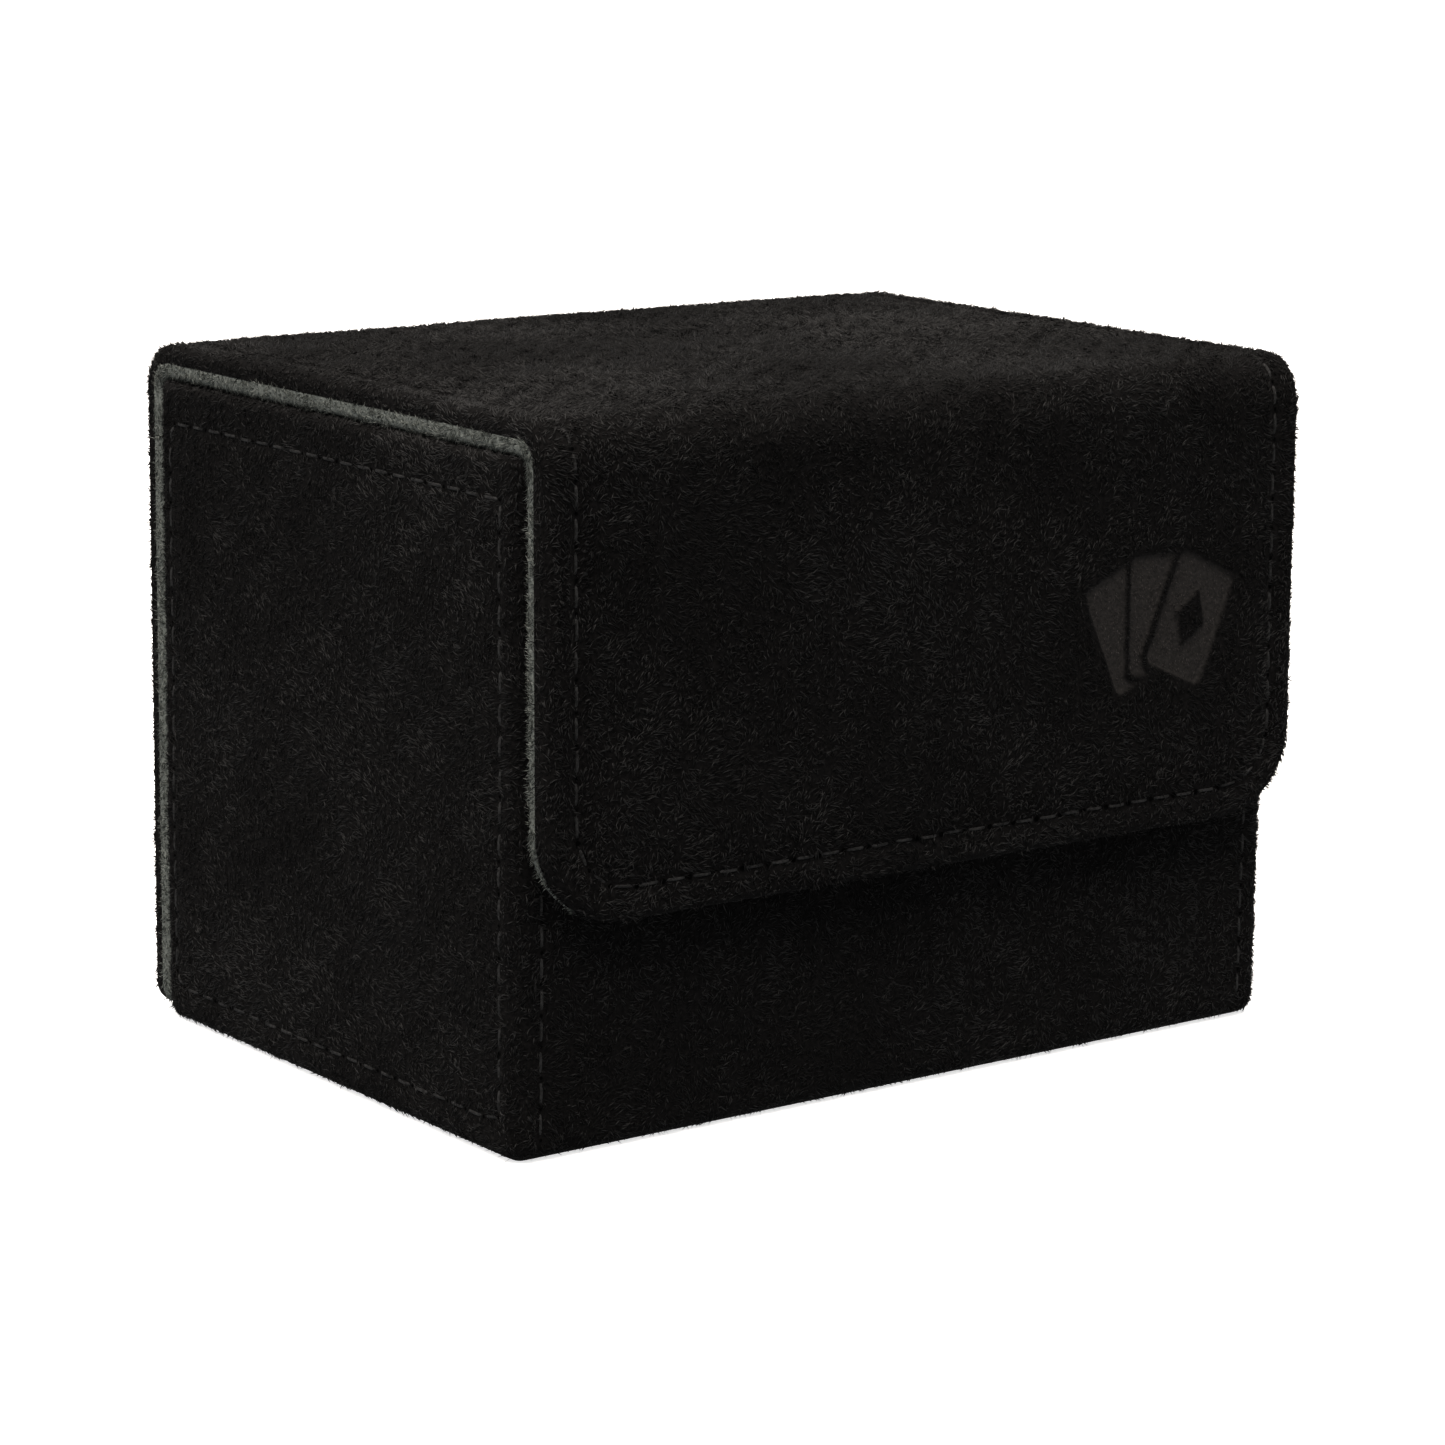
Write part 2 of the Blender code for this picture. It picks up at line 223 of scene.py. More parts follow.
LID_CROWN = 0.3 * MM
FLAP_SUEDE_EXTRA = 0.4 * MM  # how much further the suede is turned in along the flap's edge
FLAP_CROWN = 0.5 * MM
FLAP_LEAN = 0.6 * MM  # how far the flap's lower edge stands out from where it hangs straight
FLAP_TUCK = 0.8 * MM  # how far the flap's upper edge is drawn in against the front


def crown(x, run):
    """How far the filled cover stands proud of a flat sheet."""
    across = np.cos(np.clip(x / COVER_HALF, -1, 1) * math.pi / 2)
    lid = np.sin(np.clip((run - REAR_FOLD_END) / (FRONT_FOLD_START - REAR_FOLD_END), 0, 1) * math.pi)
    flap = np.sin(np.clip((run - FRONT_FOLD_END) / (COVER_RUN - FRONT_FOLD_END), 0, 1) * math.pi)
    ripple = np.sin(x * 95 + 1.3) * np.sin(run * 80 + 0.4) + 0.6 * np.sin(x * 190 - run * 130)
    return across * (LID_CROWN * lid + FLAP_CROWN * flap) + COVER_RIPPLE * ripple


def place_on_cover(x, run, depth):
    """World points of places on the cover, and the outward direction there."""
    x, run, depth = (np.asarray(value, float) for value in (x, run, depth))
    on_flap = ease((run - FRONT_FOLD_START) / (FRONT_FOLD_END - FRONT_FOLD_START))
    depth = depth + FLAP_SUEDE_EXTRA * on_flap * np.sin(math.pi * np.clip(depth / COVER_THICK, 0, 1))
    rear = np.clip((run - REAR_FOLD_START) / REAR_FOLD, 0, math.pi / 2)
    front = np.clip((run - FRONT_FOLD_START) / FRONT_FOLD, 0, math.pi / 2)
    up = np.minimum(run, REAR_FOLD_START)
    ahead = np.clip(run - REAR_FOLD_END, 0, FRONT_FOLD_START - REAR_FOLD_END)
    down = np.maximum(run - FRONT_FOLD_END, 0)
    on_rear = run < LID_MIDDLE
    rear_radius, front_radius = REAR_FOLD - depth, FRONT_FOLD - depth
    y_rear = BACK_Y - REAR_FOLD + rear_radius * np.cos(rear) - ahead
    z_rear = BACK_LOW.z + up + rear_radius * np.sin(rear)
    y_front = FLAP_Y + FRONT_FOLD - front_radius * np.sin(front)
    y_front = y_front + FRONT_FOLD_START - REAR_FOLD_END - ahead
    z_front = LID_TOP - FRONT_FOLD + front_radius * np.cos(front) - down
    lean = FLAP_LEAN * (down / (COVER_RUN - FRONT_FOLD_END)) - FLAP_TUCK * np.sin(front)
    y = np.where(on_rear, y_rear, y_front - lean)
    z = np.where(on_rear, z_rear, z_front)
    points = np.stack([x, y, z], -1)
    y_out = np.where(on_rear, np.cos(rear), -np.sin(front))
    z_out = np.where(on_rear, np.sin(rear), np.cos(front))
    outward = np.stack([0 * x, y_out, z_out], -1)
    return points, outward


def fold_rows(start, end):
    """Closely spaced rows over one fold."""
    return list(np.linspace(start, end, 11))


def cover_sheet(name, low_run, high_run, low_depth, high_depth, corner, roll, rolled_face):
    """A layer of the cover, modelled flat as (x, run, -depth).

    It is cut straight where the halves meet, and its other end has rounded corners.
    """
    piece = add_block(name, (-COVER_HALF, low_run, -high_depth), (COVER_HALF, high_run, -low_depth))
    free_end = low_run if low_run < MM else high_run
    cut_end = LID_MIDDLE
    bevel_edges(
        piece,
        lambda a, b: abs(a.z - b.z) > 0.5 * (high_depth - low_depth) and abs(a.y - free_end) < 0.1 * MM,
        corner,
        10,
    )
    face_z = -low_depth if rolled_face == "outer" else -high_depth
    on_outline = lambda a, b: (
        max(abs(a.z - face_z), abs(b.z - face_z)) < ON_PLANE
        and not max(abs(a.y - cut_end), abs(b.y - cut_end)) < ON_PLANE
    )
    bevel_edges(piece, on_outline, roll, 5)
    rows = list(np.arange(low_run + 3 * MM, high_run, ROW_STEP))
    if low_run < REAR_FOLD_START < high_run:
        rows += fold_rows(REAR_FOLD_START, REAR_FOLD_END)
    if low_run < FRONT_FOLD_START < high_run:
        rows += fold_rows(FRONT_FOLD_START, FRONT_FOLD_END)
    if low_run < EMBLEM_RUN < high_run:
        rows += list(EMBLEM_RUN + np.arange(-EMBLEM_REACH, EMBLEM_REACH, EMBLEM_GRID))
    seam_rows = [COVER_SEAM + step for step in BESIDE_SEAM]
    rows += [free_end + (seam if free_end < MM else -seam) for seam in seam_rows]
    cut_rows(1, rows)
    columns = list(np.arange(-COVER_HALF + FIRST_ROW, COVER_HALF - LAST_ROW, ROW_STEP))
    columns += [side * (COVER_HALF - seam) for side in (-1, 1) for seam in seam_rows]
    if low_run < EMBLEM_RUN < high_run:
        columns += list(EMBLEM_X + np.arange(-EMBLEM_REACH, EMBLEM_REACH, EMBLEM_GRID))
    cut_rows(0, columns)
    return piece


def seam_distance(x, run, free_run):
    """Distance from a cover's U of stitches: its two sides and its rounded free end."""
    corner = FLAP_CORNER if free_run > MM else HEEL_CORNER
    radius = max(corner - COVER_SEAM, MM)
    aside = np.abs(x) - (COVER_HALF - COVER_SEAM - radius)
    along = (run - free_run) * (1 if free_run > MM else -1) + COVER_SEAM + radius
    outside = np.hypot(np.maximum(aside, 0), np.maximum(along, 0)) + np.minimum(np.maximum(aside, along), 0)
    return np.abs(outside - radius)


SEAM_DIP = 0.35 * MM

# The mark pressed into the flap: a fan of three blank cards, the front one with a diamond
EMBLEM_X = 31 * MM
EMBLEM_RUN = COVER_RUN - 22.5 * MM
EMBLEM_DEPTH = 0.35 * MM
EMBLEM_REACH = 12 * MM
EMBLEM_GRID = 0.3 * MM
CARD_HALF_WIDTH = 4.6 * MM
CARD_HALF_HEIGHT = 6.8 * MM
CARD_CORNER = 1.2 * MM
CARD_LINE = 0.8 * MM
CARD_SLOPE = 0.25 * MM  # how wide the edge of the pressed cloth is
DIAMOND_SLOPE = 0.15  # as a share of the diamond
CARD_TILTS = (-24, 0, 24)
DIAMOND_HALF_WIDTH = 2.1 * MM
DIAMOND_HALF_HEIGHT = 3.1 * MM
FAN_PIVOT = -9 * MM
FAN_RADIUS = 11.5 * MM


def on_card(across, up, tilt):
    """A place as seen from the middle of a card."""
    turn = math.radians(tilt)
    a = across * math.cos(turn) - (up - FAN_PIVOT) * math.sin(turn)
    b = across * math.sin(turn) + (up - FAN_PIVOT) * math.cos(turn) - FAN_RADIUS
    return a, b


def emblem(x, run):
    """How far the pile is pressed, from 0 to 1: each card is flat, apart from a line round the next one."""
    across, up = x - EMBLEM_X, EMBLEM_RUN - run
    pressed = np.zeros_like(across)
    for tilt in CARD_TILTS:
        a, b = on_card(across, up, tilt)
        aside = np.abs(a) - CARD_HALF_WIDTH + CARD_CORNER
        above = np.abs(b) - CARD_HALF_HEIGHT + CARD_CORNER
        outside = np.hypot(np.maximum(aside, 0), np.maximum(above, 0))
        distance = outside + np.minimum(np.maximum(aside, above), 0) - CARD_CORNER
        pressed = np.where(distance < CARD_LINE, 0, pressed)
        pressed = np.maximum(pressed, np.clip(-distance / CARD_SLOPE, 0, 1))
    diamond = np.abs(a) / DIAMOND_HALF_WIDTH + np.abs(b) / DIAMOND_HALF_HEIGHT - 1
    return pressed * np.clip(diamond / DIAMOND_SLOPE, 0, 1)


def wrap_suede(flat, free_run):
    """World points, and the three world directions, of flat points (x, run, height) on the suede."""
    x, run, depth = flat[:, 0], flat[:, 1], -flat[:, 2]
    face = np.clip(1 - depth / (SUEDE_EDGE * 0.8), 0, 1)
    dip = SEAM_DIP * np.exp(-((seam_distance(x, run, free_run) / SEAM_SPREAD) ** 2))
    dip = dip + EMBLEM_DEPTH * emblem(x, run)
    points, outward = place_on_cover(x, run, depth - face * (crown(x, run) - dip))
    sideways = np.zeros_like(outward)
    sideways[:, 0] = 1
    return points, sideways, np.cross(outward, sideways), outward


def wrap(piece, free_run, filled):
    """Bends a flat layer round the box."""
    flat = coordinates(piece)
    if filled:
        points = wrap_suede(flat, free_run)[0]
    else:
        points = place_on_cover(flat[:, 0], flat[:, 1], -flat[:, 2])[0]
    move_points(piece, points)
    return piece


# Materials


def colour(code):
    """An sRGB hex value as linear RGBA."""
    channels = [int(code[i : i + 2], 16) / 255 for i in (1, 3, 5)]
    return tuple(c / 12.92 if c <= 0.04045 else ((c + 0.055) / 1.055) ** 2.4 for c in channels) + (1.0,)


def add_node(tree, kind, inputs=(), stops=(), **settings):
    """A node with its settings, its inputs given as values or as sockets to link, and a ramp's stops."""
    made = tree.nodes.new(kind)
    for key, value in settings.items():
        setattr(made, key, value)
    for key, value in dict(inputs).items():
        if isinstance(value, bpy.types.NodeSocket):
            tree.links.new(value, made.inputs[key])
        else:
            made.inputs[key].default_value = value
    if stops:
        elements = made.color_ramp.elements
        elements[0].position, elements[-1].position = stops[0][0], stops[-1][0]
        for position, _ in stops[1:-1]:
            elements.new(position)
        for element, (_, code) in zip(elements, stops):
            element.color = colour(code)
    return made


def new_material(name, roughness, metallic=0.0, **constants):
    material = bpy.data.materials.new(name)
    material.use_nodes = True
    tree = material.node_tree
    shader = tree.nodes["Principled BSDF"]
    shader.inputs["Roughness"].default_value = roughness
    shader.inputs["Metallic"].default_value = metallic
    for key, value in constants.items():
        shader.inputs[key.replace("_", " ")].default_value = value
    return material, tree, shader


def suede_ground():
    """Black microfibre suede, brushed: the dark felted ground that shows between the fibres, paler with
    painted sheen where the mark presses it flat.
    """
    material, tree, shader = new_material(
        "black_suede_ground",
        0.95,
        Specular_IOR_Level=0.06,
        Sheen_Weight=0.01,
        Sheen_Roughness=0.5,
        IOR=1.45,
    )
    place = add_node(tree, "ShaderNodeTexCoord").outputs["Object"]
    felt = add_node(
        tree,
        "ShaderNodeTexNoise",
        {"Vector": place, "Scale": 2200.0, "Detail": 3.0, "Roughness": 0.6},
    )
    tint = add_node(
        tree,
        "ShaderNodeValToRGB",
        {"Fac": felt.outputs["Fac"]},
        [(0.35, "#060606"), (0.65, "#141313")],
    ).outputs["Color"]
    # Painted sheen: the ground is paler where the mark presses the pile flat.
    pressed_ground_sheen = add_node(
        tree,
        "ShaderNodeValToRGB",
        {"Fac": felt.outputs["Fac"]},
        [(0.3, "#21201f"), (0.7, "#302e2d")],
    ).outputs["Color"]
    pressed = add_node(tree, "ShaderNodeAttribute", attribute_name="pressed").outputs["Fac"]
    cloth = add_node(
        tree,
        "ShaderNodeMix",
        {0: pressed, 6: tint, 7: pressed_ground_sheen},
        data_type="RGBA",
    ).outputs[2]
    tree.links.new(cloth, shader.inputs["Base Color"])
    bump = add_node(
        tree,
        "ShaderNodeBump",
        {"Height": felt.outputs["Fac"], "Strength": 0.8, "Distance": 0.2 * MM},
    )
    tree.links.new(bump.outputs["Normal"], shader.inputs["Normal"])
    return material


def lining_cloth():
    """Grey microfibre lining: a fine matt felt, a little green, with a soft nap."""
    material, tree, shader = new_material(
        "grey_lining_felt", 0.9, Specular_IOR_Level=0.2, Sheen_Weight=0.04, Sheen_Roughness=0.6, IOR=1.45
    )
    place = add_node(tree, "ShaderNodeTexCoord").outputs["Object"]
    nap = add_node(
        tree,
        "ShaderNodeTexNoise",
        {"Vector": place, "Scale": 2600.0, "Detail": 4.0, "Roughness": 0.65},
    )
    patches = add_node(tree, "ShaderNodeTexNoise", {"Vector": place, "Scale": 90.0, "Detail": 2.0})
    both = add_node(
        tree,
        "ShaderNodeMath",
        {0: patches.outputs["Fac"], 1: 0.12, 2: nap.outputs["Fac"]},
        operation="MULTIPLY_ADD",
    )
    tint = add_node(
        tree,
        "ShaderNodeValToRGB",
        {"Fac": both.outputs["Value"]},
        [(0.34, "#454945"), (0.78, "#838883")],
    ).outputs["Color"]
    tree.links.new(tint, shader.inputs["Base Color"])
    bump = add_node(
        tree,
        "ShaderNodeBump",
        {"Height": nap.outputs["Fac"], "Strength": 0.7, "Distance": 0.15 * MM},
    )
    tree.links.new(bump.outputs["Normal"], shader.inputs["Normal"])
    return material


def suede_pile():
    """The pile of the black suede: matt fibres, darkened towards the root as painted shade, in paler and
    darker patches of painted sheen where the brushed nap catches the light, with a few bright fibres as
    painted glints and a paler painted sheen where the pile is pressed flat.
    """
    material, tree, shader = new_material(
        "black_suede_pile", 0.6, Specular_IOR_Level=0.14, Sheen_Weight=0.01, Sheen_Roughness=0.4, IOR=1.45
    )
    place = add_node(tree, "ShaderNodeTexCoord").outputs["Object"]
    along, tone, pressed = (
        add_node(tree, "ShaderNodeAttribute", attribute_name=name).outputs["Fac"]
        for name in ("along", "tone", "pressed")
    )
    # Painted sheen: paler and darker patches where the brushed nap catches the light.
    patches = add_node(
        tree, "ShaderNodeTexNoise", {"Vector": place, "Scale": 34.0, "Detail": 2.0}
    ).outputs["Fac"]
    soft = add_node(
        tree, "ShaderNodeMath", {0: patches, 1: 1.4, 2: -0.29}, operation="MULTIPLY_ADD"
    ).outputs["Value"]
    # The lightness of each fibre: its own tone, which differs at random, plus the patches; the few
    # brightest fibres are painted glints.
    lit = add_node(
        tree, "ShaderNodeMath", {0: tone, 1: 0.7, 2: soft}, operation="MULTIPLY_ADD"
    ).outputs["Value"]
    upper = add_node(
        tree,
        "ShaderNodeValToRGB",
        {"Fac": lit},
        [(0.3, "#0a0a0a"), (0.65, "#171717"), (0.85, "#292929"), (1.0, "#424242")],
    ).outputs["Color"]
    # Painted shade: each fibre darkens to near black towards its root.
    root_shaded_strand = add_node(
        tree,
        "ShaderNodeMix",
        {0: along, 6: colour("#060606"), 7: upper},
        data_type="RGBA",
    ).outputs[2]
    # Painted sheen: the fibres pressed flat in the mark are paler.
    pressed_pile_sheen = add_node(
        tree,
        "ShaderNodeValToRGB",
        {"Fac": tone},
        [(0.0, "#252322"), (0.6, "#343130"), (1.0, "#484543")],
    ).outputs["Color"]
    tint = add_node(
        tree,
        "ShaderNodeMix",
        {0: pressed, 6: root_shaded_strand, 7: pressed_pile_sheen},
        data_type="RGBA",
    ).outputs[2]
    tree.links.new(tint, shader.inputs["Base Color"])
    return material


def black_thread():
    """Black polyester sewing thread: two plies, with a slight shine."""
    material, tree, shader = new_material("black_sewing_thread", 0.6, Specular_IOR_Level=0.2, IOR=1.5)
    place = add_node(tree, "ShaderNodeTexCoord").outputs["Object"]
    ply = add_node(tree, "ShaderNodeTexNoise", {"Vector": place, "Scale": 3500.0, "Detail": 1.0})
    tint = add_node(
        tree,
        "ShaderNodeValToRGB",
        {"Fac": ply.outputs["Fac"]},
        [(0.35, "#181818"), (0.7, "#323232")],
    ).outputs["Color"]
    tree.links.new(tint, shader.inputs["Base Color"])
    return material


def painted_hole_shadow():
    """Painted shadow: the dark of a needle hole between the fibres."""
    material, tree, shader = new_material("needle_hole_shadow", 1.0, Specular_IOR_Level=0.0)
    place = add_node(tree, "ShaderNodeTexCoord").outputs["Object"]
    depth = add_node(tree, "ShaderNodeTexNoise", {"Vector": place, "Scale": 3000.0})
    tint = add_node(
        tree,
        "ShaderNodeValToRGB",
        {"Fac": depth.outputs["Fac"]},
        [(0.3, "#020202"), (0.7, "#080808")],
    ).outputs["Color"]
    tree.links.new(tint, shader.inputs["Base Color"])
    return material


def plain_board():
    """Grey pasteboard stiffener, shut in between the cloths: flecked paper pulp."""
    material, tree, shader = new_material("grey_pasteboard", 0.95)
    place = add_node(tree, "ShaderNodeTexCoord").outputs["Object"]
    pulp = add_node(tree, "ShaderNodeTexNoise", {"Vector": place, "Scale": 900.0, "Detail": 5.0})
    tint = add_node(
        tree,
        "ShaderNodeValToRGB",
        {"Fac": pulp.outputs["Fac"]},
        [(0.35, "#7d776c"), (0.65, "#9a9488")],
    ).outputs["Color"]
    tree.links.new(tint, shader.inputs["Base Color"])
    return material


def nickel_magnet():
    """Nickel plated magnet, shut in under the suede."""
    material, tree, shader = new_material("nickel_plated_magnet", 0.3, metallic=1.0)
    place = add_node(tree, "ShaderNodeTexCoord").outputs["Object"]
    wear = add_node(tree, "ShaderNodeTexNoise", {"Vector": place, "Scale": 1500.0, "Detail": 3.0})
    tint = add_node(
        tree,
        "ShaderNodeValToRGB",
        {"Fac": wear.outputs["Fac"]},
        [(0.3, "#a9a7a0"), (0.7, "#c4c2bb")],
    ).outputs["Color"]
    tree.links.new(tint, shader.inputs["Base Color"])
    return material


def lining_nap():
    """The nap of the grey lining: short pale fibres, a little green, darkened towards the root as painted
    shade.
    """
    material, tree, shader = new_material(
        "grey_lining_nap", 0.8, Specular_IOR_Level=0.2, Sheen_Weight=0.03, Sheen_Roughness=0.5, IOR=1.45
    )
    along, tone = (
        add_node(tree, "ShaderNodeAttribute", attribute_name=name).outputs["Fac"]
        for name in ("along", "tone")
    )
    upper = add_node(
        tree,
        "ShaderNodeValToRGB",
        {"Fac": tone},
        [(0.0, "#1e211e"), (0.4, "#666b65"), (1.0, "#bcc1ba")],
    ).outputs["Color"]
    # Painted shade: each fibre darkens towards its root.
    root_shaded_strand = add_node(
        tree,
        "ShaderNodeMix",
        {0: along, 6: colour("#383c38"), 7: upper},
        data_type="RGBA",
    ).outputs[2]
    tree.links.new(root_shaded_strand, shader.inputs["Base Color"])
    return material


SUEDE_GROUND = suede_ground()
SUEDE_PILE = suede_pile()
LINING_CLOTH = lining_cloth()
LINING_NAP = lining_nap()
BLACK_THREAD = black_thread()
HOLE_SHADOW_PAINT = painted_hole_shadow()


def dress(piece, material):
    piece.data.materials.clear()
    piece.data.materials.append(material)
    return piece


# Pile: short fibres, each a closed three-sided spike


def swirl_field(seed, lengths, strengths):
    """Smooth directions in space: waves of a few lengths, added up."""
    waves = np.random.default_rng(seed)
    parts = []
    for length, strength in zip(lengths, strengths):
        for _ in range(9):
            heading = waves.normal(size=3)
            heading *= 2 * math.pi / (length * waves.uniform(0.7, 1.4) * np.linalg.norm(heading))
            parts.append((heading, waves.uniform(0, 2 * math.pi), waves.normal(size=3) * strength))

    def direction(points):
        total = np.zeros_like(points)
        for wave, phase, push in parts:
            total += np.sin(points @ wave + phase)[:, None] * push
        return total

    return direction


SWIRL = swirl_field(11, (24 * MM, 8 * MM, 3.2 * MM, 1.6 * MM), (0.45, 0.5, 0.5, 0.55))


def scatter(piece, density, wanted):
    """Points spread evenly over the faces that suit, with their smooth normals."""
    mesh = piece.data
    mesh.calc_loop_triangles()
    corners = np.empty(len(mesh.loop_triangles) * 3, np.int32)
    mesh.loop_triangles.foreach_get("vertices", corners)
    corners = corners.reshape(-1, 3)
    points = coordinates(piece)
    normals = np.empty(len(mesh.vertices) * 3, np.float32)
    mesh.vertices.foreach_get("normal", normals)
    normals = normals.reshape(-1, 3).astype(float)
    a, b, c = points[corners].transpose(1, 0, 2)
    facing = np.cross(b - a, c - a)
    area = np.linalg.norm(facing, axis=1) / 2
    facing /= np.maximum(2 * area, 1e-12)[:, None]
    area = area * wanted((a + b + c) / 3, facing)
    count = int(density * area.sum() / MM**2)
    drawn = random.choice(len(area), count, p=area / area.sum())
    first, second = random.random((2, count))
    over = first + second > 1
    first, second = np.where(over, 1 - first, first), np.where(over, 1 - second, second)
    parts = np.stack([1 - first - second, first, second], -1)
    roots = (points[corners[drawn]] * parts[:, :, None]).sum(1)
    smooth_normals = (normals[corners[drawn]] * parts[:, :, None]).sum(1)
    smooth_normals = smooth_normals + 0.7 * facing[drawn]
    return roots, smooth_normals / np.linalg.norm(smooth_normals, axis=1)[:, None]


FIBRE_LENGTH = 0.8 * MM
FIBRE_WIDTH = 0.18 * MM
FIBRE_THICKNESS = 0.07 * MM
FIBRE_ROOT = 0.08 * MM  # how far a fibre starts below the cloth
ABOVE_GROUND = 0.05 * MM  # no fibre reaches lower
FIBRE_ON_MAP = np.array([(0.12, 0.1), (0.88, 0.1), (0.5, 0.3), (0.5, 0.92)])


def spikes(name, roots, normals, places, pressed, shortened, size=1.0, stray_share=0.08):
    """One mesh of all the fibres on a stretch of cloth, lying along the swirls of the pile.

    places are where the swirls are read, so that they run on across pieces; pressed is 1 where
    the pile is ironed flat, and shortened is 1 where it is clipped at the edge of such a place.
    """
    count = len(roots)
    lie = SWIRL(places) + random.normal(0, 0.75, (count, 3))
    lie = lie * (1 - pressed[:, None]) + pressed[:, None] * np.array((0.4, 0.1, -1.0))
    lie -= (lie * normals).sum(1)[:, None] * normals
    lie /= np.maximum(np.linalg.norm(lie, axis=1), 1e-9)[:, None]
    side = np.cross(normals, lie)
    length = FIBRE_LENGTH * size * random.uniform(0.6, 1.3, count) * (1 - 0.4 * pressed)
    length *= 1 - 0.6 * shortened
    stray = random.random(count) < stray_share
    rise = random.uniform(0.12, 0.55, count) * (1 + 1.2 * stray) * (1 - 0.93 * pressed)
    curl = random.normal(0, 0.22, count)
    width = FIBRE_WIDTH * size * random.uniform(0.7, 1.2, count)
    tip = roots + lie * (length * np.cos(rise))[:, None] + normals * (length * np.sin(rise))[:, None]
    tip += side * (length * curl)[:, None]
    base = roots - normals * FIBRE_ROOT
    ridge = base + normals * (FIBRE_THICKNESS * size + FIBRE_ROOT) + lie * 0.1 * length[:, None]
    left, right = base - side * width[:, None] / 2, base + side * width[:, None] / 2
    points = np.stack([left, right, ridge, tip], 1).reshape(-1, 3)
    points[:, 2] = np.maximum(points[:, 2], ABOVE_GROUND)
    corner = 4 * np.arange(count)[:, None, None]
    faces = corner + np.array([(0, 1, 2), (1, 3, 2), (0, 2, 3), (0, 3, 1)])[None]
    faces = faces.reshape(-1, 3)
    mesh = bpy.data.meshes.new(name)
    mesh.vertices.add(len(points))
    mesh.vertices.foreach_set("co", points.astype(np.float32).ravel())
    mesh.loops.add(faces.size)
    mesh.loops.foreach_set("vertex_index", faces.ravel().astype(np.int32))
    mesh.polygons.add(len(faces))
    mesh.polygons.foreach_set("loop_start", np.arange(0, faces.size, 3, dtype=np.int32))
    mesh.polygons.foreach_set("loop_total", np.full(len(faces), 3, np.int32))
    mesh.update(calc_edges=True)
    # A square of its own for every fibre on the map named OFBake, to which its colours can be baked
    across = math.ceil(math.sqrt(count))
    cell = np.arange(count)
    squares = np.stack([cell % across, cell // across], -1)[:, None] + FIBRE_ON_MAP[None]
    layer = mesh.uv_layers.new(name="OFBake")
    on_map = squares.reshape(-1, 2)[faces.ravel()] / across
    layer.uv.foreach_set("vector", on_map.astype(np.float32).ravel())
    # along runs from 0 at a fibre's root to 1 at its tip; the pile materials paint shade towards the root
    # with it.
    along = np.tile((0.0, 0.0, 0.25, 1.0), count)
    # tone differs at random from fibre to fibre; in the suede pile its few highest values become painted
    # glints.
    tone = np.repeat(random.random(count) ** 1.6, 4)
    for key, values in (("along", along), ("tone", tone), ("pressed", np.repeat(pressed, 4))):
        layer = mesh.attributes.new(key, "FLOAT", "POINT")
        layer.data.foreach_set("value", values.astype(np.float32))
    piece = bpy.data.objects.new(name, mesh)
    bpy.context.scene.collection.objects.link(piece)
    return piece


# Stitches


def thread_template(steps=6):
    """One stitch: an arc of thread whose ends dive into the cloth; along X from -0.5 to 0.5."""
    start_primitive()
    bpy.ops.mesh.primitive_cylinder_add(vertices=6, radius=0.5, depth=1, rotation=(0, math.pi / 2, 0))
    template = bpy.context.object
    bpy.ops.object.transform_apply(location=True, rotation=True, scale=True)
    cut_rows(0, [step / steps - 0.5 for step in range(1, steps)])
    return template


def hole_template():
    """A needle hole: the low dimple, dark with painted shadow, where the thread goes in."""
    start_primitive()
    bpy.ops.mesh.primitive_uv_sphere_add(segments=8, ring_count=4, radius=0.5)
    return bpy.context.object


def read_template(template):
    points = coordinates(template)
    faces = [tuple(face.vertices) for face in template.data.polygons]
    bpy.data.objects.remove(template, do_unlink=True)
    return points, faces


THREAD_POINTS, THREAD_FACES = read_template(thread_template())
HOLE_POINTS, HOLE_FACES = read_template(hole_template())
THREAD_WIDTH = 0.36 * MM
STITCH_GAP = 0.6 * MM
THREAD_HEIGHT = 0.38 * MM
THREAD_FLATNESS = 0.8
THREAD_SUNK = 0.3 * MM  # how far the ends of a stitch lie below the cloth
STITCH_WANDER = 0.035 * MM
HOLE_WIDTH = 0.6 * MM
HOLE_FLATNESS = 0.15
HOLE_LIFT = 0.1 * MM
SIDE_HOLE_WIDTH = 0.36 * MM  # along the sides of the flap and lid, and on the body
BODY_SEAM_DIP = 0.22 * MM


def copies(name, template, placed):
    """One mesh of a template placed many times."""
    points, faces = [], []
    for places in placed:
        faces += [tuple(len(points) * len(places) + index for index in face) for face in template]
        points.append(places)
    mesh = bpy.data.meshes.new(name)
    mesh.from_pydata(np.concatenate(points).tolist(), [], faces)
    piece = bpy.data.objects.new(name, mesh)
    bpy.context.scene.collection.objects.link(piece)
    return piece


def along_path(path, pitch):
    """Places at even steps along a path of (u, v), with the direction there."""
    path = np.asarray(path, float)
    steps = np.linalg.norm(np.diff(path, axis=0), axis=1)
    reached = np.concatenate([[0], np.cumsum(steps)])
    count = max(int(round(reached[-1] / pitch)), 1)
    ends = np.linspace(0, reached[-1], count + 1)
    return np.stack([np.interp(ends, reached, path[:, i]) for i in range(2)], -1)


